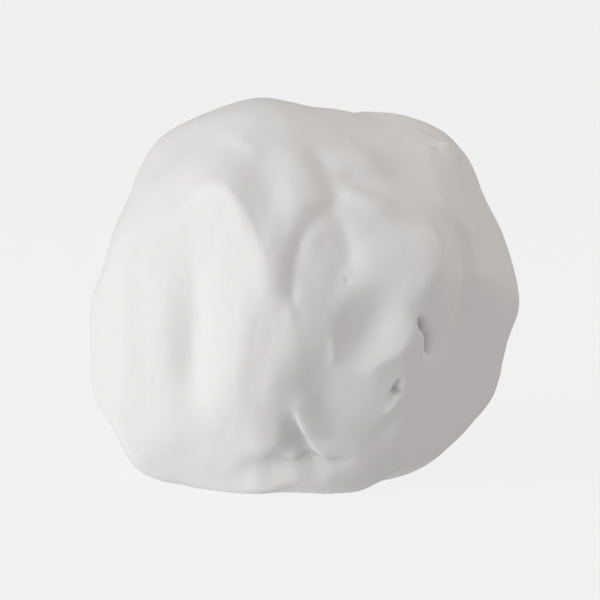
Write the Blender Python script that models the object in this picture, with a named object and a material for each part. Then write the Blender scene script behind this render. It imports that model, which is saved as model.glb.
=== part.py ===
"""A snowball: one lump of wet snow, squeezed between two hands and set down on its foot.

The lump is a single closed skin around its middle. Its radius in every direction starts from an
outline and two depths, and is then worked the way hands work snow: palms press facets on it, lobes
stay proud between them, thumbs and fingers leave dents, and folded snow leaves lips and grooves.
Places and sizes below are in millimetres; the mesh is in metres, +Z up, with its origin under the
middle of the lump, on the plane it stands on.
"""

import math

import bmesh
import bpy
import numpy as np

MM = 0.001
NAME = "snowball"

# Driving dimensions. The width sets the size of the finished lump; all else keeps its share of it.
WIDTH = 96.0
FRONT_DEPTH = 44.5
BACK_DEPTH = 46.0
FOOT_DROP = 39.2
CELLS = 28
FRONT_CROWDING = 0.12
SHARP_ANGLE = math.radians(60.0)
FOOT_SNAP = 0.25
# A press works on the skin that faces it at least this much.
LEAST_FACING = 0.2
# A fold: points between two places, reach in widths, and the share of its length that each end fades in.
LINE_STEPS = 8
LINE_REACH = 2.6
END_SHARE = 0.3

SNOW_COLOUR = (0.86, 0.86, 0.87, 1.0)
SNOW_ROUGHNESS = 0.5

# The front is laid out as an eye sees it from a little above: right and up from the middle.
EYE_TILT = math.radians(8.0)
EYE_DISTANCE = 600.0
EYE_RIGHT = np.array((1.0, 0.0, 0.0))
EYE_UP = np.array((0.0, math.sin(EYE_TILT), math.cos(EYE_TILT)))
EYE_TOWARDS = np.array((0.0, -math.cos(EYE_TILT), math.sin(EYE_TILT)))
MEAN_RADIUS = 46.5
NEAR_RADIUS = 43.3

# Outline across the line of sight: radius every 10 degrees, anticlockwise from the right.
OUTLINE = np.array((
    49.0, 48.6, 47.7, 46.7, 47.3, 48.9, 46.9, 43.2, 42.8,
    43.0, 45.5, 46.4, 47.2, 48.4, 48.7, 45.9, 45.6, 45.7,
    47.9, 49.5, 52.1, 52.7, 53.4, 53.6, 49.6, 47.0, 45.4,
    45.0, 45.4, 46.0, 46.6, 47.3, 47.5, 48.7, 47.8, 47.5,
))
BROAD_HARMONICS = 3
EDGE_BAND = 0.42


def unit(vector):
    """The vector at length one."""
    return np.asarray(vector, float) / np.linalg.norm(vector)


def unit_rows(vectors):
    """Each row at length one."""
    return vectors / np.linalg.norm(vectors, axis=1, keepdims=True)


def front(right, up):
    """Direction of the place on the front that the eye sees this far right of and above the middle."""
    outwards = (right ** 2 + up ** 2) / MEAN_RADIUS ** 2
    depth = NEAR_RADIUS + (MEAN_RADIUS - NEAR_RADIUS) * outwards
    eye = EYE_DISTANCE * EYE_TOWARDS
    ray = unit(right * EYE_RIGHT + up * EYE_UP - eye)
    half_way = -float(ray @ eye)
    inside = depth ** 2 - EYE_DISTANCE ** 2 + half_way ** 2
    return unit(eye + (half_way - math.sqrt(max(inside, 0.0))) * ray)


def around(azimuth, elevation):
    """Direction at an azimuth (0 in front, 90 at the right, 180 behind) and a height, in degrees."""
    turn, rise = math.radians(azimuth), math.radians(elevation)
    level = math.cos(rise)
    return np.array((math.sin(turn) * level, -math.cos(turn) * level, math.sin(rise)))


# Broad presses: direction, distance of the flat from the middle, width of the rounding at its edge.
PRESSES = (
    (around(35, 58), 42.8, 6.0),
    (around(-14, -2), 42.9, 1.2),
    (around(9, -10), 42.8, 1.5),
    (around(10, -21), 42.6, 1.5),
    (around(70, 22), 45.2, 5.0),
    (around(124, 10), 42.6, 3.0),
    (around(163, -20), 43.4, 3.0),
    (around(208, 36), 42.2, 3.0),
    (around(238, -10), 43.0, 2.5),
    (around(150, 58), 43.4, 4.0),
    (around(-63, 1), 44.3, 1.6),
    (around(-52, 40), 44.0, 3.0),
)

# The heel of the other hand on the right, the big palm facet on the left and the bevel below it.
# They are pressed after the dents beside them, so their edges are crisp.
CRISP_PRESSES = (
    (around(55, -17), 41.5, 2.0),
    (around(-39, 2), 39.9, 0.9),
    (around(-24, -20), 44.8, 2.5),
)

# The flat on the front of the base, and the oval within which it is pressed.
BASE_FLAT = (around(-16, 0), 33.8, 0.8)
BASE_OVAL = (around(2, -45.5), 10.5, 6.8, -3, 6.0)

# Lobes and dents: place, half length, half width, turn of the length from level, height, flatness.
# A height below zero is a dent. Flatness 2 is a soft bell, more has a flat floor and steep walls.
BEFORE_PRESSING = (
    # the cap at the top left and the lobe that runs down from it
    (front(-7, 41), 13.0, 8.0, 10, 1.2, 2.0),
    (front(-0.6, 22.0), 12.5, 5.6, 99, 1.5, 2.6),
    # the valley between palm facet and lobe, and the swell that carries the facet's edge
    (front(-9.0, 28.5), 8.0, 5.0, 118, -0.3, 2.2),
    (front(-7.8, 7.0), 9.0, 4.2, 92, 1.4, 2.4),
    (front(6.0, -20.0), 12.0, 8.0, 92, -0.6, 2.2),
    (front(-17.5, 21.0), 11.0, 7.5, 125, 4.0, 2.2),
    (front(-20, -24), 14.0, 5.4, 88, 2.0, 2.6),
    (front(-25, -34), 16.0, 10.0, -22, 4.2, 2.4),
    (front(-30, 28), 12.0, 8.0, 50, 1.6, 2.2),
    # the thumb hollow in the middle, its floor a little raised
    (front(4.5, 6.0), 10.8, 7.4, 85, -1.9, 3.4),
    (front(4.0, 6.0), 9.0, 5.6, 85, 0.8, 2.0),
    # mounds and dips above the hollow
    (front(15.2, 32.4), 6.5, 4.8, 0, 1.6, 2.0),
    (front(23.0, 31.0), 8.0, 5.5, -25, -1.9, 2.2),
    (front(12.6, 26.8), 5.4, 3.0, -32, -1.2, 2.2),
    (front(22.4, 7.0), 12.0, 8.4, 85, 1.9, 2.4),
    # the small raised facet that slants down between mound and bulge
    (front(15.8, 19.2), 6.5, 3.4, -36, 1.0, 2.2),
    # the three-cornered hollow below the middle
    (front(14.2, -6.0), 8.5, 6.2, 62, -2.0, 3.4),
    (front(16.8, -6.0), 6.5, 3.6, 58, -0.9, 2.2),
    # the soft dip left of it, hollow and tongue at the bottom middle
    (front(4.6, -21.0), 9.0, 4.4, 92, -0.6, 2.2),
    (front(-14.0, -34.5), 8.5, 6.0, 0, 2.4, 2.4),
    (front(-0.6, -33.6), 4.6, 2.6, 0, -1.3, 2.2),
    (front(-11.0, -38.0), 5.8, 3.8, 35, 1.2, 2.2),
    (front(13.0, -27.0), 9.0, 6.0, 75, 0.3, 2.4),
    (front(20.5, -29), 6.0, 2.4, 60, -0.9, 2.0),
    (around(22, -48), 17.0, 7.5, 0, 2.4, 3.0),
    # the right side
    (front(32.6, 32.0), 6.0, 4.6, -45, 1.6, 2.0),
)

AFTER_PRESSING = (
    # the finger groove down the palm facet, and the swell beside it
    (front(-28.8, -11), 17.0, 5.4, 90, -2.1, 2.4),
    (front(-29.5, -18), 6.5, 3.2, 88, -0.6, 2.0),
    (front(-18, -14), 12.0, 4.0, 88, 0.4, 2.0),
    (front(-37, -8), 14.0, 4.5, 92, 0.4, 2.0),
    (front(-20.5, 13.5), 3.0, 2.0, 70, -0.25, 2.0),
    # hollows down the right side
    (front(37.5, 5), 11.0, 4.2, 82, -3.0, 2.0),
    (front(33.5, -10.5), 8.0, 4.0, 62, -1.2, 2.0),
)

# Folds: places along a line, height of its crest (or depth, below zero), how far it spreads to the
# left and to the right of the way it runs, and its sharpness: 1 is a crease, 2 is rounded.
FOLDS = (
    # the winding valley right of the lobe, steep where the lobe falls into it
    ((front(0, 39), front(3.4, 32), front(5.8, 26), front(5.8, 20.5), front(1.8, 16.5), front(-2.0, 12)),
     -1.4, 2.6, 2.6, 1.8),
    # the steep wall on the left of the thumb hollow
    ((front(3.8, 18.5), front(-0.2, 14), front(-2.2, 9), front(-3.0, 4), front(-2.4, -2), front(0.4, -7)),
     -0.9, 1.6, 1.7, 1.8),
    # the steep wall on its right
    ((front(5, 20), front(8.5, 15.5), front(10, 10.5), front(9.6, 4)), -0.55, 2.2, 2.2, 1.8),
    # the slanting ridge above the hollow
    ((front(7.4, 25.6), front(11.0, 23.0), front(15.0, 20.4), front(20.0, 16.8)), 0.7, 7.0, 1.4, 1.8),
    # the ridges on either side of the three-cornered hollow
    ((front(27.5, 0), front(25.5, -7), front(22.0, -12.0), front(16.5, -16.0), front(13.5, -21.0)),
     1.0, 3.0, 2.2, 1.8),
    ((front(6.3, -8), front(6.8, -13), front(6.0, -18)), 0.3, 1.2, 1.2, 1.8),
    # the tongue's lip, the pocket under it, and the crease below both
    ((front(-0.4, -21), front(-0.2, -26), front(1.6, -31), front(4.8, -34.6)), 0.9, 3.4, 2.2, 1.8),
    ((front(-3.2, -26), front(-2, -32), front(0.6, -35.8), front(5.6, -38.0)), -2.5, 1.3, 2.0, 1.9),
    ((front(-11, -35.4), front(-4, -36.4), front(5, -36.8), front(13, -35.8)), -0.8, 1.6, 1.0, 1.6),
    # the bulge's steep right edge
    ((front(26.0, 18), front(27.4, 10), front(27.6, 3), front(27.0, -4)), 2.8, 1.4, 6.5, 1.8),
    # the base, pressed out to a steep wall where the lump stands
    ((around(-52, -48), around(-28, -49), around(-4, -50), around(20, -51), around(42, -52)),
     2.6, 4.4, 12.0, 2.6),
    # the folded edge at the top left
    ((front(-21, 37.5), front(-15.5, 35.8), front(-12.2, 33.2), front(-9, 30.5)), 0.6, 3.0, 2.2, 1.8),
    # the light ridge on the right side
    ((front(28, 24.5), front(33, 20.5), front(37.5, 16.0), front(42, 11.0)), 0.9, 2.6, 2.6, 1.8),
)

# The back, where four fingers wrapped round it, and the sides. Laid out as above.
BEHIND = (
    # the four finger dents, and the thumb's on the other side of the back
    (around(150, 30), 12.0, 5.0, -12, -2.2, 2.8),
    (around(157, 11), 14.0, 5.2, -6, -2.4, 2.8),
    (around(156, -8), 13.0, 5.0, 2, -2.0, 2.8),
    (around(150, -25), 9.0, 4.4, 10, -1.6, 2.6),
    (around(212, 4), 9.0, 7.0, 70, -2.8, 3.2),
    # snow squeezed up beside them
    (around(186, 14), 15.0, 4.2, 84, 1.9, 2.2),
    (around(192, -18), 9.0, 5.0, 60, 1.4, 2.2),
    (around(232, 22), 10.0, 5.0, -40, 1.5, 2.2),
    # dents and swells on the right side, the left side and the top
    (around(100, 4), 10.0, 5.0, 70, -1.6, 2.4),
    (around(112, -20), 9.0, 4.5, -35, 1.4, 2.2),
    (around(95, 38), 9.0, 5.0, 25, 1.2, 2.2),
    (around(258, 8), 12.0, 4.4, 80, -1.3, 2.4),
    (around(252, -24), 9.0, 4.5, 15, 1.2, 2.2),
    (around(265, 40), 10.0, 5.0, -30, -1.2, 2.2),
    (around(185, 60), 9.0, 5.0, 20, -1.8, 2.4),
    (around(110, 66), 8.0, 4.5, 60, 1.3, 2.2),
)

FOLDS_BEHIND = (
    # a long fold over the back, steep on the thumb's side
    ((around(205, 66), around(200, 48), around(196, 32), around(203, 18), around(198, 4)),
     -1.5, 1.8, 3.6, 1.7),
    # a lip low on the back and the crease beneath it
    ((around(172, -33), around(190, -36), around(208, -33), around(222, -26)), 1.2, 3.4, 1.6, 1.8),
    ((around(168, -41), around(188, -43), around(208, -41), around(226, -34)), -1.1, 1.8, 2.6, 1.6),
    # short folds on the right side and over the top
    ((around(118, 44), around(112, 30), around(118, 18), around(112, 6)), -1.2, 3.0, 1.6, 1.7),
    ((around(128, -14), around(120, -27), around(106, -35)), -1.1, 1.7, 2.8, 1.7),
    ((around(90, 72), around(140, 74), around(178, 72)), -1.2, 2.8, 1.7, 1.7),
    # a fold low on the left side
    ((around(240, 12), around(247, -4), around(244, -20)), -1.2, 1.6, 3.0, 1.7),
)


def harmonics(angle, first, last):
    """The outline's harmonics from first to last, added up at each angle."""
    spectrum = np.fft.rfft(OUTLINE) / len(OUTLINE)
    total = np.zeros_like(angle)
    for order in range(first, last + 1):
        weight = 1.0 if order in (0, len(OUTLINE) // 2) else 2.0
        total += weight * (spectrum[order] * np.exp(1j * order * angle)).real
    return total


def rounded_lump(directions):
    """Radius of the lump before it is worked: the outline joined to the front and back depths."""
    right = directions @ EYE_RIGHT
    up = directions @ EYE_UP
    towards = directions @ EYE_TOWARDS
    angle = np.arctan2(up, right)
    across = harmonics(angle, 0, BROAD_HARMONICS)
    depth = np.where(towards > 0.0, FRONT_DEPTH, BACK_DEPTH)
    broad = 1.0 / np.sqrt((1.0 - towards ** 2) / across ** 2 + towards ** 2 / depth ** 2)
    edge = harmonics(angle, BROAD_HARMONICS + 1, len(OUTLINE) // 2)
    return broad + edge * np.exp(-(towards / EDGE_BAND) ** 2)


def smooth_step(share):
    """A soft ramp from 0 to 1 as the share goes from 0 to 1."""
    share = np.clip(share, 0.0, 1.0)
    return share * share * (3.0 - 2.0 * share)


def smooth_min(one, other, blend):
    """The lower of the two, with the corner between them rounded over this width."""
    mix = np.clip(0.5 + 0.5 * (other - one) / blend, 0.0, 1.0)
    return other + (one - other) * mix - blend * mix * (1.0 - mix)


def press(radius, directions, towards, distance, blend):
    """Flatten the lump where it reaches past a plane across one direction."""
    facing = directions @ towards
    flat = np.where(facing > LEAST_FACING, distance / np.maximum(facing, LEAST_FACING), np.inf)
    near = flat < radius + 2.0 * blend
    pressed = radius.copy()
    pressed[near] = smooth_min(radius[near], flat[near], blend)
    return pressed


def oval_share(directions, place, half_length, half_width, turn, flatness):
    """How far each direction lies within an oval, from 1 in its middle down to 0 well outside.

    The oval's length is turned from level by an angle in degrees, seen from outside.
    """
    middle = MEAN_RADIUS * place
    level = unit(np.cross((0.0, 0.0, 1.0), place))
    upward = np.cross(place, level)
    angle = math.radians(turn)
    along = math.cos(angle) * level + math.sin(angle) * upward
    beside = np.cross(place, along)
    offset = MEAN_RADIUS * directions - middle
    oval = np.sqrt((offset @ along / half_length) ** 2 + (offset @ beside / half_width) ** 2)
    return np.exp(-(oval ** flatness)) * (directions @ place > 0.0)


def raise_patch(radius, directions, place, half_length, half_width, turn, height, flatness):
    """Raise or sink an oval patch of the skin."""
    return radius + height * oval_share(directions, place, half_length, half_width, turn, flatness)


def smooth_line(places, steps):
    """Points on a curve through the places, on the ball of mean radius."""
    ends = [2.0 * places[0] - places[1], *places, 2.0 * places[-1] - places[-2]]
    share = np.linspace(0.0, 1.0, steps, endpoint=False)[:, None]
    points = []
    for one, two, three, four in zip(ends, ends[1:], ends[2:], ends[3:]):
        bend = (2.0 * one - 5.0 * two + 4.0 * three - four) * share ** 2
        twist = (3.0 * two - one - 3.0 * three + four) * share ** 3
        points.append(two + 0.5 * ((three - one) * share + bend + twist))
    points.append(places[-1][None, :])
    return MEAN_RADIUS * unit_rows(np.concatenate(points))


def fold_line(radius, directions, places, height, left_width, right_width, sharpness):
    """Raise or sink the skin along a line, with its own slope on either side and ends that fade."""
    line = smooth_line(places, LINE_STEPS)
    skin = MEAN_RADIUS * directions
    reach = LINE_REACH * max(left_width, right_width)
    low, high = line.min(axis=0) - reach, line.max(axis=0) + reach
    near = np.nonzero(((skin > low) & (skin < high)).all(axis=1))[0]
    offset = skin[near, None, :] - line[None, :, :]
    closest = np.linalg.norm(offset, axis=2).argmin(axis=1)
    offset = offset[np.arange(len(near)), closest]
    step = np.gradient(line, axis=0)[closest]
    length = np.linalg.norm(step, axis=1)
    across = np.cross(directions[near], step / length[:, None])
    side = (offset * across).sum(axis=1)
    past = (offset * step).sum(axis=1) / length ** 2
    share = np.clip((closest + past) / (len(line) - 1), 0.0, 1.0)
    fade = smooth_step(share / END_SHARE) * smooth_step((1.0 - share) / END_SHARE)
    leaning = 0.5 + 0.5 * np.tanh(side / min(left_width, right_width))
    width = right_width + (left_width - right_width) * leaning
    worked = radius.copy()
    worked[near] += height * fade * np.exp(-((np.abs(side) / width) ** sharpness))
    return worked


def worked_lump(directions):
    """Radius of the finished lump in each direction, in millimetres."""
    radius = rounded_lump(directions)
    for towards, distance, blend in PRESSES:
        radius = press(radius, directions, towards, distance, blend)
    for patch in BEFORE_PRESSING + BEHIND:
        radius = raise_patch(radius, directions, *patch)
    for fold in FOLDS + FOLDS_BEHIND:
        radius = fold_line(radius, directions, *fold)
    for towards, distance, blend in CRISP_PRESSES:
        radius = press(radius, directions, towards, distance, blend)
    flattened = press(radius, directions, *BASE_FLAT)
    radius += (flattened - radius) * oval_share(directions, *BASE_OVAL)
    for patch in AFTER_PRESSING:
        radius = raise_patch(radius, directions, *patch)
    return radius


def cube_ball(cells):
    """A cube cut into this many cells a side, with its vertices moved out to a unit ball."""
    mesh = bmesh.new()
    bmesh.ops.create_cube(mesh, size=2.0)
    bmesh.ops.subdivide_edges(mesh, edges=mesh.edges[:], cuts=cells - 1, use_grid_fill=True)
    corners = np.array([vertex.co for vertex in mesh.verts])
    even = np.tan(corners * math.pi / 4.0)
    crowded = unit_rows(even) + FRONT_CROWDING * EYE_TOWARDS
    return mesh, unit_rows(crowded)


def cut_foot(mesh):
    """Cut the lump off flat where it stands, and close the cut with one face."""
    ground = (0.0, 0.0, -FOOT_DROP * MM)
    bmesh.ops.bisect_plane(
        mesh,
        geom=mesh.verts[:] + mesh.edges[:] + mesh.faces[:],
        dist=FOOT_SNAP * MM,
        plane_co=ground,
        plane_no=(0.0, 0.0, -1.0),
        clear_outer=True,
    )
    rim = [edge for edge in mesh.edges if edge.is_boundary]
    for vertex in {vertex for edge in rim for vertex in edge.verts}:
        vertex.co.z = ground[2]
    bmesh.ops.contextual_create(mesh, geom=rim)


def box(mesh):
    """The lowest and the highest corner of the mesh's box."""
    places = np.array([vertex.co for vertex in mesh.verts])
    return places.min(axis=0), places.max(axis=0)


def size_to_width(mesh):
    """Scale the whole lump so that it is as wide as it should be."""
    low, high = box(mesh)
    share = WIDTH * MM / (high[0] - low[0])
    bmesh.ops.scale(mesh, verts=mesh.verts[:], vec=(share, share, share))


def stand_on_origin(mesh):
    """Move the lump so that the middle of its box stands over the origin, its foot on the ground."""
    low, high = box(mesh)
    shift = (-(low[0] + high[0]) / 2.0, -(low[1] + high[1]) / 2.0, -low[2])
    bmesh.ops.translate(mesh, verts=mesh.verts[:], vec=shift)


def snow_material():
    """Plain white snow, pressed to a satin finish."""
    material = bpy.data.materials.new("packed_snow")
    material.use_nodes = True
    shader = material.node_tree.nodes["Principled BSDF"]
    shader.inputs["Base Color"].default_value = SNOW_COLOUR
    shader.inputs["Roughness"].default_value = SNOW_ROUGHNESS
    shader.inputs["Metallic"].default_value = 0.0
    return material


def make_snowball():
    """The whole lump as one object."""
    mesh, directions = cube_ball(CELLS)
    places = directions * worked_lump(directions)[:, None] * MM
    for vertex, place in zip(mesh.verts, places):
        vertex.co = place
    cut_foot(mesh)
    size_to_width(mesh)
    stand_on_origin(mesh)
    bmesh.ops.recalc_face_normals(mesh, faces=mesh.faces[:])
    data = bpy.data.meshes.new(NAME)
    mesh.to_mesh(data)
    mesh.free()
    data.shade_smooth()
    data.set_sharp_from_angle(angle=SHARP_ANGLE)
    data.materials.append(snow_material())
    snowball = bpy.data.objects.new(NAME, data)
    bpy.context.scene.collection.objects.link(snowball)


def main():
    """Clear the start-up scene and make the snowball."""
    for leftover in list(bpy.data.objects):
        bpy.data.objects.remove(leftover)
    make_snowball()


main()
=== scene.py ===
"""The looks of the snowball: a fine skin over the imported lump, satin wet snow, soft studio light."""

import math

import bmesh
import bpy
import numpy as np
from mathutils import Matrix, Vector, noise


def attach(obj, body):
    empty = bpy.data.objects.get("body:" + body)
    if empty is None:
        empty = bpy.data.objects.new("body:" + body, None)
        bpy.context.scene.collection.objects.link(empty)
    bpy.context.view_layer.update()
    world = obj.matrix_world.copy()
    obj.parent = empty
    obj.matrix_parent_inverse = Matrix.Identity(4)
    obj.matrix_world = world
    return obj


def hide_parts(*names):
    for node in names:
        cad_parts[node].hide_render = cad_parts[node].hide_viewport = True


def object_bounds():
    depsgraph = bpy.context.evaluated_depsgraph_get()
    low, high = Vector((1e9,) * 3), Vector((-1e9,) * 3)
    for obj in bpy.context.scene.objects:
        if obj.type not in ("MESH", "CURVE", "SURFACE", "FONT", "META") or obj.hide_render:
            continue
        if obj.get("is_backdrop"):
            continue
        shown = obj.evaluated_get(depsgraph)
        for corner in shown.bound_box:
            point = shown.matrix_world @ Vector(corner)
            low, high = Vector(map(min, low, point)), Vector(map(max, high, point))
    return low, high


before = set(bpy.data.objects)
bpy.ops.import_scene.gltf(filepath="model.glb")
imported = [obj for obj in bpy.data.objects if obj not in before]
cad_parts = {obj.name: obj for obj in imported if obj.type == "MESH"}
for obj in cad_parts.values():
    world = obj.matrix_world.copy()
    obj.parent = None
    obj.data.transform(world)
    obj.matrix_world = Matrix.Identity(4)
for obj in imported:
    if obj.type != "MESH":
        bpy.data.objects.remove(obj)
CAD_LOW, CAD_HIGH = (tuple(corner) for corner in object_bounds())

MM = 0.001
NODE = "snowball"
PIECE = "packed_snow"

# The form, in millimetres, as the solid has it: how far the front and back stand from the middle, and
# how far below the middle the foot is cut flat.
FRONT_DEPTH = 44.5
BACK_DEPTH = 46.0
FOOT_DROP = 39.2

# How the tools work: a press acts only where the skin faces it at least this much; a fold's line has
# this many points between places, is felt out to this many widths, and fades over this share of its ends.
LEAST_FACING = 0.2
LINE_STEPS = 8
LINE_REACH = 2.6
END_SHARE = 0.3

# The fine skin: cells along a side of the cube it grows from, and how much they crowd to the front.
CELLS = 128
FRONT_CROWDING = 0.22

# The front is laid out as an eye sees it from a little above: right and up from the middle.
EYE_TILT = math.radians(8.0)
EYE_DISTANCE = 600.0
EYE_RIGHT = np.array((1.0, 0.0, 0.0))
EYE_UP = np.array((0.0, math.sin(EYE_TILT), math.cos(EYE_TILT)))
EYE_TOWARDS = np.array((0.0, -math.cos(EYE_TILT), math.sin(EYE_TILT)))

# Radius of the ball that places are laid out on: at its edge, and at the middle of its front.
MEAN_RADIUS = 46.5
NEAR_RADIUS = 43.3

# Outline across the line of sight: radius every 10 degrees, anticlockwise from the right.
OUTLINE = np.array((
    49.0, 48.6, 47.7, 46.7, 47.3, 48.9, 46.9, 43.2, 42.8,
    43.0, 45.5, 46.4, 47.2, 48.4, 48.7, 45.9, 45.6, 45.7,
    47.9, 49.5, 52.1, 52.7, 53.4, 53.6, 49.6, 47.0, 45.4,
    45.0, 45.4, 46.0, 46.6, 47.3, 47.5, 48.7, 47.8, 47.5,
))
# Only its broad waves run on over front and back. The rest stay in a band along the edge.
BROAD_HARMONICS = 3
EDGE_BAND = 0.42


def unit(vector):
    """The vector at length one."""
    return np.asarray(vector, float) / np.linalg.norm(vector)


def unit_rows(vectors):
    """Each row at length one."""
    return vectors / np.linalg.norm(vectors, axis=1, keepdims=True)


def front(right, up):
    """Direction of the place on the front that the eye sees this far right of and above the middle."""
    outwards = (right ** 2 + up ** 2) / MEAN_RADIUS ** 2
    depth = NEAR_RADIUS + (MEAN_RADIUS - NEAR_RADIUS) * outwards
    eye = EYE_DISTANCE * EYE_TOWARDS
    ray = unit(right * EYE_RIGHT + up * EYE_UP - eye)
    half_way = -float(ray @ eye)
    inside = depth ** 2 - EYE_DISTANCE ** 2 + half_way ** 2
    return unit(eye + (half_way - math.sqrt(max(inside, 0.0))) * ray)


def around(azimuth, elevation):
    """Direction at an azimuth (0 in front, 90 at the right, 180 behind) and a height, in degrees."""
    turn, rise = math.radians(azimuth), math.radians(elevation)
    level = math.cos(rise)
    return np.array((math.sin(turn) * level, -math.cos(turn) * level, math.sin(rise)))


# Broad presses: direction, distance of the flat from the middle, width of the rounding at its edge.
PRESSES = (
    (around(35, 58), 42.8, 6.0),
    (around(-14, -2), 42.9, 1.2),
    (around(9, -10), 42.8, 1.5),
    (around(10, -21), 42.6, 1.5),
    (around(70, 22), 45.2, 5.0),
    (around(124, 10), 42.6, 3.0),
    (around(163, -20), 43.4, 3.0),
    (around(208, 36), 42.2, 3.0),
    (around(238, -10), 43.0, 2.5),
    (around(150, 58), 43.4, 4.0),
    (around(-63, 1), 44.3, 1.6),
    (around(-52, 40), 44.0, 3.0),
)

# The heel of the other hand on the right, the big palm facet on the left and the bevel below it.
# They are pressed after the dents beside them, so their edges are crisp.
CRISP_PRESSES = (
    (around(55, -17), 41.5, 2.0),
    (around(-39, 2), 39.9, 0.9),
    (around(-24, -20), 44.8, 2.5),
)

# The flat on the front of the base, and the oval within which it is pressed.
BASE_FLAT = (around(-16, 0), 33.8, 0.8)
BASE_OVAL = (around(2, -45.5), 10.5, 6.8, -3, 6.0)

# Lobes and dents: place, half length, half width, turn of the length from level, height, flatness.
# A height below zero is a dent. Flatness 2 is a soft bell, more has a flat floor and steep walls.
BEFORE_PRESSING = (
    # the cap at the top left and the lobe that runs down from it
    (front(-7, 41), 13.0, 8.0, 10, 1.2, 2.0),
    (front(-0.6, 22.0), 12.5, 5.6, 99, 1.5, 2.6),
    # the valley between palm facet and lobe, the swell that carries the facet's edge, a broad dip
    # lower down, and the snow that the palm facet is pressed into
    (front(-9.0, 28.5), 8.0, 5.0, 118, -0.3, 2.2),
    (front(-7.8, 7.0), 9.0, 4.2, 92, 1.4, 2.4),
    (front(6.0, -20.0), 12.0, 8.0, 92, -0.6, 2.2),
    (front(-17.5, 21.0), 11.0, 7.5, 125, 4.0, 2.2),
    (front(-20, -24), 14.0, 5.4, 88, 2.0, 2.6),
    (front(-25, -34), 16.0, 10.0, -22, 4.2, 2.4),
    (front(-30, 28), 12.0, 8.0, 50, 1.6, 2.2),
    # the thumb hollow in the middle, its floor a little raised
    (front(4.5, 6.0), 10.8, 7.4, 85, -1.9, 3.4),
    (front(4.0, 6.0), 9.0, 5.6, 85, 0.8, 2.0),
    # mounds and dips above the hollow
    (front(15.2, 32.4), 6.5, 4.8, 0, 1.6, 2.0),
    (front(23.0, 31.0), 8.0, 5.5, -25, -1.9, 2.2),
    (front(12.6, 26.8), 5.4, 3.0, -32, -1.2, 2.2),
    (front(22.4, 7.0), 12.0, 8.4, 85, 1.9, 2.4),
    # the small raised facet that slants down between mound and bulge
    (front(15.8, 19.2), 6.5, 3.4, -36, 1.0, 2.2),
    # the three-cornered hollow below the middle
    (front(14.2, -6.0), 8.5, 6.2, 62, -2.0, 3.4),
    (front(16.8, -6.0), 6.5, 3.6, 58, -0.9, 2.2),
    # the soft dip left of it, hollow, tongue and base at the bottom middle
    (front(4.6, -21.0), 9.0, 4.4, 92, -0.6, 2.2),
    (front(-14.0, -34.5), 8.5, 6.0, 0, 2.4, 2.4),
    (front(-0.6, -33.6), 4.6, 2.6, 0, -1.3, 2.2),
    (front(-11.0, -38.0), 5.8, 3.8, 35, 1.2, 2.2),
    (front(13.0, -27.0), 9.0, 6.0, 75, 0.3, 2.4),
    (front(20.5, -29), 6.0, 2.4, 60, -0.9, 2.0),
    (around(22, -48), 17.0, 7.5, 0, 2.4, 3.0),
    # the right side
    (front(32.6, 32.0), 6.0, 4.6, -45, 1.6, 2.0),
)

# Laid out as above, and worked in after the crisp presses.
AFTER_PRESSING = (
    # the finger groove down the palm facet, and the swell beside it
    (front(-28.8, -11), 17.0, 5.4, 90, -2.1, 2.4),
    (front(-29.5, -18), 6.5, 3.2, 88, -0.6, 2.0),
    (front(-18, -14), 12.0, 4.0, 88, 0.4, 2.0),
    (front(-37, -8), 14.0, 4.5, 92, 0.4, 2.0),
    (front(-20.5, 13.5), 3.0, 2.0, 70, -0.25, 2.0),
    # hollows down the right side
    (front(37.5, 5), 11.0, 4.2, 82, -3.0, 2.0),
    (front(33.5, -10.5), 8.0, 4.0, 62, -1.2, 2.0),
)

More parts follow.
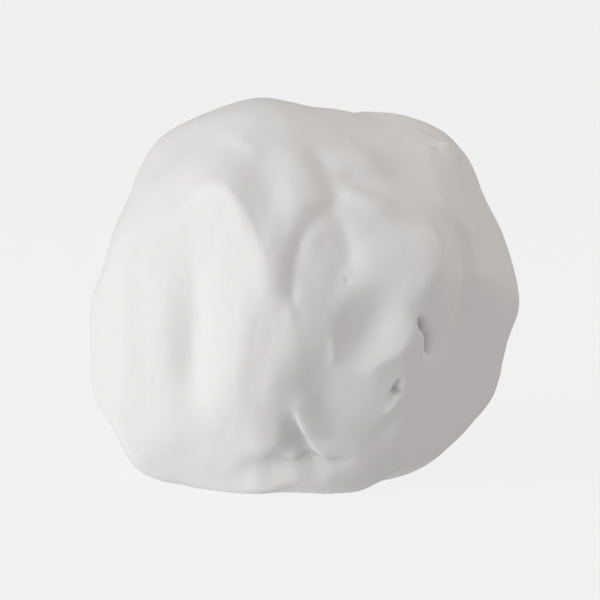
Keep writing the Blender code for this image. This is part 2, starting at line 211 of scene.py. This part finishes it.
# Folds: places along a line, height of its crest (or depth, below zero), how far it spreads to the
# left and to the right of the way it runs, and its sharpness: 1 is a crease, 2 is rounded.
FOLDS = (
    # the winding valley right of the lobe, steep where the lobe falls into it
    ((front(0, 39), front(3.4, 32), front(5.8, 26), front(5.8, 20.5), front(1.8, 16.5), front(-2.0, 12)),
     -1.4, 2.6, 2.6, 1.8),
    # the steep wall on the left of the thumb hollow
    ((front(3.8, 18.5), front(-0.2, 14), front(-2.2, 9), front(-3.0, 4), front(-2.4, -2), front(0.4, -7)),
     -0.9, 1.6, 1.7, 1.8),
    # the steep wall on its right
    ((front(5, 20), front(8.5, 15.5), front(10, 10.5), front(9.6, 4)), -0.55, 2.2, 2.2, 1.8),
    # the slanting ridge above the hollow
    ((front(7.4, 25.6), front(11.0, 23.0), front(15.0, 20.4), front(20.0, 16.8)), 0.7, 7.0, 1.4, 1.8),
    # the ridges on either side of the three-cornered hollow
    ((front(27.5, 0), front(25.5, -7), front(22.0, -12.0), front(16.5, -16.0), front(13.5, -21.0)),
     1.0, 3.0, 2.2, 1.8),
    ((front(6.3, -8), front(6.8, -13), front(6.0, -18)), 0.3, 1.2, 1.2, 1.8),
    # the tongue's lip, the pocket under it, and the crease below both
    ((front(-0.4, -21), front(-0.2, -26), front(1.6, -31), front(4.8, -34.6)), 0.9, 3.4, 2.2, 1.8),
    ((front(-3.2, -26), front(-2, -32), front(0.6, -35.8), front(5.6, -38.0)), -2.5, 1.3, 2.0, 1.9),
    ((front(-11, -35.4), front(-4, -36.4), front(5, -36.8), front(13, -35.8)), -0.8, 1.6, 1.0, 1.6),
    # the bulge's steep right edge
    ((front(26.0, 18), front(27.4, 10), front(27.6, 3), front(27.0, -4)), 2.8, 1.4, 6.5, 1.8),
    # the base, pressed out to a steep wall where the lump stands
    ((around(-52, -48), around(-28, -49), around(-4, -50), around(20, -51), around(42, -52)),
     2.6, 4.4, 12.0, 2.6),
    # the folded edge at the top left
    ((front(-21, 37.5), front(-15.5, 35.8), front(-12.2, 33.2), front(-9, 30.5)), 0.6, 3.0, 2.2, 1.8),
    # the light ridge on the right side
    ((front(28, 24.5), front(33, 20.5), front(37.5, 16.0), front(42, 11.0)), 0.9, 2.6, 2.6, 1.8),
)

# The back, where four fingers wrapped round it, and the sides. Laid out as above.
BEHIND = (
    # the four finger dents, and the thumb's on the other side of the back
    (around(150, 30), 12.0, 5.0, -12, -2.2, 2.8),
    (around(157, 11), 14.0, 5.2, -6, -2.4, 2.8),
    (around(156, -8), 13.0, 5.0, 2, -2.0, 2.8),
    (around(150, -25), 9.0, 4.4, 10, -1.6, 2.6),
    (around(212, 4), 9.0, 7.0, 70, -2.8, 3.2),
    # snow squeezed up beside them
    (around(186, 14), 15.0, 4.2, 84, 1.9, 2.2),
    (around(192, -18), 9.0, 5.0, 60, 1.4, 2.2),
    (around(232, 22), 10.0, 5.0, -40, 1.5, 2.2),
    # dents and swells on the right side, the left side and the top
    (around(100, 4), 10.0, 5.0, 70, -1.6, 2.4),
    (around(112, -20), 9.0, 4.5, -35, 1.4, 2.2),
    (around(95, 38), 9.0, 5.0, 25, 1.2, 2.2),
    (around(258, 8), 12.0, 4.4, 80, -1.3, 2.4),
    (around(252, -24), 9.0, 4.5, 15, 1.2, 2.2),
    (around(265, 40), 10.0, 5.0, -30, -1.2, 2.2),
    (around(185, 60), 9.0, 5.0, 20, -1.8, 2.4),
    (around(110, 66), 8.0, 4.5, 60, 1.3, 2.2),
)

FOLDS_BEHIND = (
    # a long fold over the back, steep on the thumb's side
    ((around(205, 66), around(200, 48), around(196, 32), around(203, 18), around(198, 4)),
     -1.5, 1.8, 3.6, 1.7),
    # a lip low on the back and the crease beneath it
    ((around(172, -33), around(190, -36), around(208, -33), around(222, -26)), 1.2, 3.4, 1.6, 1.8),
    ((around(168, -41), around(188, -43), around(208, -41), around(226, -34)), -1.1, 1.8, 2.6, 1.6),
    # short folds on the right side and over the top
    ((around(118, 44), around(112, 30), around(118, 18), around(112, 6)), -1.2, 3.0, 1.6, 1.7),
    ((around(128, -14), around(120, -27), around(106, -35)), -1.1, 1.7, 2.8, 1.7),
    ((around(90, 72), around(140, 74), around(178, 72)), -1.2, 2.8, 1.7, 1.7),
    # a fold low on the left side
    ((around(240, 12), around(247, -4), around(244, -20)), -1.2, 1.6, 3.0, 1.7),
)


def harmonics(angle, first, last):
    """The outline's harmonics from first to last, added up at each angle."""
    spectrum = np.fft.rfft(OUTLINE) / len(OUTLINE)
    total = np.zeros_like(angle)
    for order in range(first, last + 1):
        weight = 1.0 if order in (0, len(OUTLINE) // 2) else 2.0
        total += weight * (spectrum[order] * np.exp(1j * order * angle)).real
    return total


def rounded_lump(directions):
    """Radius of the lump before it is worked: the outline joined to the front and back depths."""
    right = directions @ EYE_RIGHT
    up = directions @ EYE_UP
    towards = directions @ EYE_TOWARDS
    angle = np.arctan2(up, right)
    across = harmonics(angle, 0, BROAD_HARMONICS)
    depth = np.where(towards > 0.0, FRONT_DEPTH, BACK_DEPTH)
    broad = 1.0 / np.sqrt((1.0 - towards ** 2) / across ** 2 + towards ** 2 / depth ** 2)
    edge = harmonics(angle, BROAD_HARMONICS + 1, len(OUTLINE) // 2)
    return broad + edge * np.exp(-(towards / EDGE_BAND) ** 2)


def smooth_step(share):
    """A soft ramp from 0 to 1 as the share goes from 0 to 1."""
    share = np.clip(share, 0.0, 1.0)
    return share * share * (3.0 - 2.0 * share)


def smooth_min(one, other, blend):
    """The lower of the two, with the corner between them rounded over this width."""
    mix = np.clip(0.5 + 0.5 * (other - one) / blend, 0.0, 1.0)
    return other + (one - other) * mix - blend * mix * (1.0 - mix)


def press(radius, directions, towards, distance, blend):
    """Flatten the lump where it reaches past a plane across one direction."""
    facing = directions @ towards
    flat = np.where(facing > LEAST_FACING, distance / np.maximum(facing, LEAST_FACING), np.inf)
    near = flat < radius + 2.0 * blend
    pressed = radius.copy()
    pressed[near] = smooth_min(radius[near], flat[near], blend)
    return pressed


def oval_share(directions, place, half_length, half_width, turn, flatness):
    """How far each direction lies within an oval, from 1 in its middle down to 0 well outside.

    The oval's length is turned from level by an angle in degrees, seen from outside.
    """
    middle = MEAN_RADIUS * place
    level = unit(np.cross((0.0, 0.0, 1.0), place))
    upward = np.cross(place, level)
    angle = math.radians(turn)
    along = math.cos(angle) * level + math.sin(angle) * upward
    beside = np.cross(place, along)
    offset = MEAN_RADIUS * directions - middle
    oval = np.sqrt((offset @ along / half_length) ** 2 + (offset @ beside / half_width) ** 2)
    return np.exp(-(oval ** flatness)) * (directions @ place > 0.0)


def raise_patch(radius, directions, place, half_length, half_width, turn, height, flatness):
    """Raise or sink an oval patch of the skin."""
    return radius + height * oval_share(directions, place, half_length, half_width, turn, flatness)


def smooth_line(places, steps):
    """Points on a curve through the places, on the ball of mean radius."""
    ends = [2.0 * places[0] - places[1], *places, 2.0 * places[-1] - places[-2]]
    share = np.linspace(0.0, 1.0, steps, endpoint=False)[:, None]
    points = []
    for one, two, three, four in zip(ends, ends[1:], ends[2:], ends[3:]):
        bend = (2.0 * one - 5.0 * two + 4.0 * three - four) * share ** 2
        twist = (3.0 * two - one - 3.0 * three + four) * share ** 3
        points.append(two + 0.5 * ((three - one) * share + bend + twist))
    points.append(places[-1][None, :])
    return MEAN_RADIUS * unit_rows(np.concatenate(points))


def line_frame(directions, places, reach):
    """For the skin near a line: which vertices, how far beside it, the way across, and the end fade."""
    line = smooth_line(places, LINE_STEPS)
    skin = MEAN_RADIUS * directions
    low, high = line.min(axis=0) - reach, line.max(axis=0) + reach
    near = np.nonzero(((skin > low) & (skin < high)).all(axis=1))[0]
    offset = skin[near, None, :] - line[None, :, :]
    closest = np.linalg.norm(offset, axis=2).argmin(axis=1)
    offset = offset[np.arange(len(near)), closest]
    step = np.gradient(line, axis=0)[closest]
    length = np.linalg.norm(step, axis=1)
    across = np.cross(directions[near], step / length[:, None])
    side = (offset * across).sum(axis=1)
    past = (offset * step).sum(axis=1) / length ** 2
    share = np.clip((closest + past) / (len(line) - 1), 0.0, 1.0)
    fade = smooth_step(share / END_SHARE) * smooth_step((1.0 - share) / END_SHARE)
    return near, side, across, fade


def fold_line(radius, directions, places, height, left_width, right_width, sharpness):
    """Raise or sink the skin along a line, with its own slope on either side and ends that fade."""
    reach = LINE_REACH * max(left_width, right_width)
    near, side, _, fade = line_frame(directions, places, reach)
    leaning = 0.5 + 0.5 * np.tanh(side / min(left_width, right_width))
    width = right_width + (left_width - right_width) * leaning
    worked = radius.copy()
    worked[near] += height * fade * np.exp(-((np.abs(side) / width) ** sharpness))
    return worked


def worked_lump(directions):
    """Radius of the finished lump in each direction, in millimetres."""
    radius = rounded_lump(directions)
    for towards, distance, blend in PRESSES:
        radius = press(radius, directions, towards, distance, blend)
    for patch in BEFORE_PRESSING + BEHIND:
        radius = raise_patch(radius, directions, *patch)
    for fold in FOLDS + FOLDS_BEHIND:
        radius = fold_line(radius, directions, *fold)
    for towards, distance, blend in CRISP_PRESSES:
        radius = press(radius, directions, towards, distance, blend)
    flattened = press(radius, directions, *BASE_FLAT)
    radius += (flattened - radius) * oval_share(directions, *BASE_OVAL)
    for patch in AFTER_PRESSING:
        radius = raise_patch(radius, directions, *patch)
    return radius


def cube_ball(cells):
    """A cube cut into this many cells a side, with its vertices moved out to a unit ball."""
    mesh = bmesh.new()
    bmesh.ops.create_cube(mesh, size=2.0)
    bmesh.ops.subdivide_edges(mesh, edges=mesh.edges[:], cuts=cells - 1, use_grid_fill=True)
    corners = np.array([vertex.co for vertex in mesh.verts])
    even = np.tan(corners * math.pi / 4.0)
    crowded = unit_rows(even) + FRONT_CROWDING * EYE_TOWARDS
    return mesh, unit_rows(crowded)


# Fine things that only the skin carries: laid out as the patches and folds of the form.
FINE_PATCHES = (
    # torn pits along the edge of the right facet, and the three-cornered one below them
    (front(26.0, -6.5), 2.0, 1.05, -58, -2.9, 2.8),
    (front(28.9, -11.2), 3.1, 1.3, -70, -3.4, 2.8),
    (front(21.2, -21.0), 1.8, 0.8, 75, -2.4, 2.6),
    (front(21.3, -22.0), 1.2, 0.7, 0, -1.6, 2.6),
    # chips and dimples at the top right
    (front(27.3, 37.4), 0.6, 0.5, 0, -0.9, 2.4),
    (front(29.6, 35.6), 1.6, 1.0, -20, -0.7, 2.2),
    (front(30.4, 33.0), 1.2, 0.5, -70, -0.6, 2.2),
    (front(31.2, 33.2), 1.5, 0.8, -62, 1.0, 2.4),
    (front(34.0, 31.0), 0.9, 0.6, -80, 0.9, 2.4),
    (front(34.8, 29.8), 1.0, 0.6, 20, -0.9, 2.4),
    # snow smeared into the foot of the hollow's wall, and at the left end of the ledge
    (front(-2.6, -2.0), 3.6, 1.8, 80, 0.45, 2.0),
    (front(-3.4, 6.0), 7.0, 1.5, 92, 0.2, 2.0),
    (front(-11.6, -36.6), 4.4, 2.2, 42, -0.7, 2.0),
    (front(-6.8, -38.6), 3.6, 2.2, 20, 0.4, 2.0),
    # a pinprick in the hollow, and shallow dimples on the palm facet
    (front(9.5, 3.4), 0.45, 0.4, 0, -0.5, 2.2),
    (front(-35.4, -19.4), 0.9, 0.6, 80, -0.25, 2.2),
    (front(-32.5, 6.0), 1.6, 1.0, 20, -0.12, 2.2),
)

FINE_FOLDS = (
    # the crack that joins the torn pits
    ((front(25.2, -4.0), front(26.8, -7.2), front(28.0, -9.6), front(29.6, -13.8)), -1.1, 0.7, 0.9, 1.8),
    # a low ridge beside the chips
    ((front(24.2, 36.4), front(27.1, 35.0), front(28.7, 33.3), front(30.0, 29.4)), 0.4, 1.8, 1.4, 1.8),
    # the crest along the palm facet's edge
    ((front(-14.0, 21.0), front(-11.6, 16.8), front(-10.4, 13.2), front(-10.0, 9.5)), 0.22, 0.8, 0.8, 1.8),
    # a light streak below the three-cornered pit
    ((front(22.2, -22.4), front(20.4, -25.0), front(18.2, -27.4)), 0.5, 0.9, 0.8, 1.8),
    # the crease under the tongue
    ((front(-8.0, -35.9), front(-2.0, -36.7), front(5.0, -36.8), front(12.0, -35.9)), -0.9, 0.5, 0.6, 1.6),
)

# The tongue's lip leans out over its pocket: places, how far, and how wide the leaning part is.
LEANING = (
    ((front(-0.8, -23.0), front(-0.6, -27.0), front(1.4, -31.5), front(5.0, -35.4)), -0.6, 1.6),
)

# Unevenness of the whole skin: size of the bumps and their height.
UNEVEN = ((7.0, 0.16), (3.0, 0.07), (1.3, 0.022))


def lean(skin, directions, places, amount, width):
    """Shift the skin along a line sideways, so that it leans over what lies beside it."""
    near, side, across, fade = line_frame(directions, places, LINE_REACH * width)
    shift = amount * fade * np.exp(-(side / width) ** 2)
    skin[near] += shift[:, None] * across


def unevenness(directions):
    """Bumps of several sizes over the whole skin."""
    total = np.zeros(len(directions))
    for size, height in UNEVEN:
        spots = directions * (MEAN_RADIUS / size)
        total += height * np.array([noise.noise(Vector(spot)) for spot in spots])
    return total


def fine_skin():
    """The fine skin as an object, in the place of the solid."""
    mesh, directions = cube_ball(CELLS)
    radius = worked_lump(directions)
    for patch in FINE_PATCHES:
        radius = raise_patch(radius, directions, *patch)
    for fold in FINE_FOLDS:
        radius = fold_line(radius, directions, *fold)
    radius += unevenness(directions)
    skin = directions * radius[:, None]
    for leaning in LEANING:
        lean(skin, directions, *leaning)
    skin[:, 2] = np.maximum(skin[:, 2], -FOOT_DROP)
    low, high = skin.min(axis=0), skin.max(axis=0)
    share = (CAD_HIGH[0] - CAD_LOW[0]) / (high[0] - low[0])
    middle = (low + high) / 2.0
    stand = np.array(((CAD_LOW[0] + CAD_HIGH[0]) / 2.0, (CAD_LOW[1] + CAD_HIGH[1]) / 2.0, CAD_LOW[2]))
    centre = stand - share * np.array((middle[0], middle[1], -FOOT_DROP))
    skin = skin * share + centre
    data = bpy.data.meshes.new(PIECE)
    bmesh.ops.recalc_face_normals(mesh, faces=mesh.faces[:])
    mesh.to_mesh(data)
    mesh.free()
    data.vertices.foreach_set("co", skin.ravel())
    data.update()
    data.shade_smooth()
    piece = bpy.data.objects.new(PIECE, data)
    bpy.context.scene.collection.objects.link(piece)
    return piece, Vector(centre)


class Tree:
    """A node tree being built, from empty."""

    def __init__(self, tree):
        self.tree = tree
        tree.nodes.clear()

    def node(self, kind, values=None, **settings):
        """Add a node with these settings, and with these values or links in its sockets."""
        made = self.tree.nodes.new(kind)
        for name, value in settings.items():
            setattr(made, name, value)
        for name, value in (values or {}).items():
            self.put(made.inputs[name], value)
        return made

    def put(self, socket, value):
        """Link another node's socket to this one, or set this one's value."""
        if isinstance(value, bpy.types.NodeSocket):
            self.tree.links.new(value, socket)
        else:
            socket.default_value = value

    def maths(self, operation, *values):
        """The result of one sum on values or sockets."""
        made = self.node("ShaderNodeMath", operation=operation)
        for socket, value in zip(made.inputs, values):
            self.put(socket, value)
        return made.outputs[0]


# The snow: sizes in metres of the clouds and specks of its colour, of its wet patches, and of the
# pores and grain that its bumps show, each bump with its depth in metres.
CLOUD_SIZE = 0.009
SPECK_SIZE = 0.0012
SPECK_SHARE = 0.3
WET_SIZE = 0.005
PORE_SIZE = 0.0022
PORE_DEPTH = 0.00018
GRAIN_SIZE = 0.00045
GRAIN_DEPTH = 0.00006
BUMP_STRENGTH = 0.35
DULLER_SNOW = (0.840, 0.842, 0.848, 1.0)
WHITER_SNOW = (0.885, 0.884, 0.882, 1.0)
WETTEST_ROUGHNESS = 0.42
DRIEST_ROUGHNESS = 0.60
ICE_IOR = 1.31
GLOW_WEIGHT = 0.15
GLOW_DEPTH = 0.0015
GLOW_SPREAD = (1.0, 1.0, 1.1)


def noise_at(tree, place, size, detail=2.0, roughness=0.5):
    """Noise between 0 and 1 with bumps of about this size, in metres."""
    made = tree.node("ShaderNodeTexNoise", {
        "Vector": place, "Scale": 1.0 / size, "Detail": detail, "Roughness": roughness,
    })
    return made.outputs["Fac"]


def snow():
    """Wet snow pressed by hand: white, satin, with a fine grain."""
    material = bpy.data.materials.new("wet_packed_snow")
    material.use_nodes = True
    tree = Tree(material.node_tree)
    place = tree.node("ShaderNodeTexCoord").outputs["Object"]
    cloud = tree.maths("MULTIPLY", noise_at(tree, place, CLOUD_SIZE, 3.0), 1.0 - SPECK_SHARE)
    speck = tree.maths("MULTIPLY", noise_at(tree, place, SPECK_SIZE), SPECK_SHARE)
    colour = tree.node("ShaderNodeMix", {"Factor": tree.maths("ADD", cloud, speck)}, data_type="RGBA")
    colour.inputs["A"].default_value = DULLER_SNOW
    colour.inputs["B"].default_value = WHITER_SNOW
    wet = noise_at(tree, place, WET_SIZE, 3.0)
    rough = tree.node("ShaderNodeMapRange", {
        "Value": wet, "To Min": WETTEST_ROUGHNESS, "To Max": DRIEST_ROUGHNESS,
    })
    grain = noise_at(tree, place, GRAIN_SIZE, 2.0, 0.6)
    pores = noise_at(tree, place, PORE_SIZE, 3.0, 0.55)
    fine = tree.node("ShaderNodeBump", {
        "Strength": BUMP_STRENGTH, "Distance": GRAIN_DEPTH, "Height": grain,
    })
    bump = tree.node("ShaderNodeBump", {
        "Strength": BUMP_STRENGTH, "Distance": PORE_DEPTH, "Height": pores,
        "Normal": fine.outputs["Normal"],
    })
    shader = tree.node("ShaderNodeBsdfPrincipled", {
        "Base Color": colour.outputs["Result"],
        "Roughness": rough.outputs["Result"],
        "Normal": bump.outputs["Normal"],
        "IOR": ICE_IOR,
        "Subsurface Weight": GLOW_WEIGHT,
        "Subsurface Scale": GLOW_DEPTH,
    })
    shader.inputs["Subsurface Radius"].default_value = GLOW_SPREAD
    out = tree.node("ShaderNodeOutputMaterial")
    tree.put(out.inputs["Surface"], shader.outputs["BSDF"])
    return material


# The picture: metres to a pixel at the lump's middle, how far right of and above that middle the eye
# aims, in pixels, the frame's side in pixels, and the width of the sensor in millimetres.
VIEW_SCALE = 0.2238e-3
EYE_OFFSET = (-4.5, -4.0)
FRAME_PIXELS = 600
SENSOR = 36.0

# The two soft lights, in metres and watts: azimuth, elevation, power and colour of each.
LIGHT_DISTANCE = 1.1
LIGHT_SIZE = 0.9
KEY = (-60.0, 24.0, 6.6, (0.97, 1.0, 0.995))
FILL = (88.0, 24.0, 2.6, (1.07, 1.0, 0.94))

# The room's light: even all round, a little more above, and a bounce from low down on the left, which
# starts this far right of the middle. Warmer above and pinker below.
EVEN_LIGHT = 0.35
MORE_ABOVE = 0.07
BOUNCE = 1.6
BOUNCE_START = 0.30
HIGH_TINT = (1.055, 1.0, 0.955, 1.0)
LOW_TINT = (1.045, 1.0, 1.03, 1.0)

# The backdrop, and the floor: its half width in metres, its own pale glow and how much shadow it takes.
BACKDROP = (0.877, 0.877, 0.877, 1.0)
FLOOR_HALF = 6.0
FLOOR_GLOW = 0.84
FLOOR_MATT = (0.06, 0.06, 0.06, 1.0)


def area_light(name, aim, azimuth, elevation, power, colour):
    """A square soft light, turned to the snowball."""
    lamp = bpy.data.lights.new(name, "AREA")
    lamp.shape = "SQUARE"
    lamp.size = LIGHT_SIZE
    lamp.energy = power
    lamp.color = colour
    light = bpy.data.objects.new(name, lamp)
    towards = Vector(around(azimuth, elevation))
    light.location = aim + LIGHT_DISTANCE * towards
    light.rotation_euler = towards.to_track_quat("Z", "Y").to_euler()
    bpy.context.scene.collection.objects.link(light)


def surroundings():
    """A pale room: even light, brighter above and at the lower left, and a pale grey backdrop."""
    world = bpy.data.worlds.new("studio")
    bpy.context.scene.world = world
    world.use_nodes = True
    tree = Tree(world.node_tree)
    place = tree.node("ShaderNodeTexCoord").outputs["Generated"]
    split = tree.node("ShaderNodeSeparateXYZ", {"Vector": place})
    leftness = tree.maths("MAXIMUM", tree.maths("SUBTRACT", BOUNCE_START, split.outputs["X"]), 0.0)
    lowness = tree.maths("MAXIMUM", tree.maths("MULTIPLY", split.outputs["Z"], -1.0), 0.0)
    bounce = tree.maths("MULTIPLY", tree.maths("MULTIPLY", leftness, lowness), BOUNCE)
    height = tree.maths("MULTIPLY_ADD", split.outputs["Z"], 0.5, 0.5)
    tint = tree.node("ShaderNodeMix", {"Factor": height}, data_type="RGBA")
    tint.inputs["A"].default_value = LOW_TINT
    tint.inputs["B"].default_value = HIGH_TINT
    strength = tree.maths("MULTIPLY_ADD", split.outputs["Z"], MORE_ABOVE, EVEN_LIGHT)
    even = tree.node("ShaderNodeBackground", {"Color": tint.outputs["Result"], "Strength": strength})
    low = tree.node("ShaderNodeBackground", {"Strength": bounce})
    light = tree.node("ShaderNodeAddShader")
    tree.put(light.inputs[0], even.outputs["Background"])
    tree.put(light.inputs[1], low.outputs["Background"])
    seen = tree.node("ShaderNodeBackground", {"Color": BACKDROP})
    path = tree.node("ShaderNodeLightPath")
    mix = tree.node("ShaderNodeMixShader", {"Fac": path.outputs["Is Camera Ray"]})
    tree.put(mix.inputs[1], light.outputs["Shader"])
    tree.put(mix.inputs[2], seen.outputs["Background"])
    out = tree.node("ShaderNodeOutputWorld")
    tree.put(out.inputs["Surface"], mix.outputs["Shader"])


def floor():
    """A plain pale floor that takes a faint shadow."""
    data = bpy.data.meshes.new("floor")
    signs = ((-1, -1), (1, -1), (1, 1), (-1, 1))
    corners = [(right * FLOOR_HALF, back * FLOOR_HALF, 0.0) for right, back in signs]
    data.from_pydata(corners, [], [(0, 1, 2, 3)])
    ground = bpy.data.objects.new("floor", data)
    bpy.context.scene.collection.objects.link(ground)
    ground.visible_diffuse = False
    ground.visible_glossy = False
    ground.visible_transmission = False
    ground.visible_shadow = False
    material = bpy.data.materials.new("pale_floor")
    material.use_nodes = True
    tree = Tree(material.node_tree)
    glow = tree.node("ShaderNodeEmission", {"Strength": FLOOR_GLOW})
    matt = tree.node("ShaderNodeBsdfDiffuse", {"Color": FLOOR_MATT})
    both = tree.node("ShaderNodeAddShader")
    tree.put(both.inputs[0], glow.outputs["Emission"])
    tree.put(both.inputs[1], matt.outputs["BSDF"])
    out = tree.node("ShaderNodeOutputMaterial")
    tree.put(out.inputs["Surface"], both.outputs["Shader"])
    data.materials.append(material)
    ground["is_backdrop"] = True


def camera(centre):
    """The eye that the front was laid out for."""
    lens = bpy.data.cameras.new("eye")
    lens.sensor_width = SENSOR
    lens.lens = SENSOR * EYE_DISTANCE * MM / (FRAME_PIXELS * VIEW_SCALE)
    eye = bpy.data.objects.new("eye", lens)
    bpy.context.scene.collection.objects.link(eye)
    aim = centre + VIEW_SCALE * (EYE_OFFSET[0] * Vector(EYE_RIGHT) + EYE_OFFSET[1] * Vector(EYE_UP))
    towards = Vector(EYE_TOWARDS)
    eye.location = aim + EYE_DISTANCE * MM * towards
    eye.rotation_euler = towards.to_track_quat("Z", "Y").to_euler()
    bpy.context.scene.camera = eye


piece, centre = fine_skin()
piece.data.materials.append(snow())
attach(piece, "root")
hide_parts(NODE)

surroundings()
floor()
area_light("key", centre, *KEY)
area_light("fill", centre, *FILL)
camera(centre)
bpy.context.scene.view_settings.view_transform = "Standard"
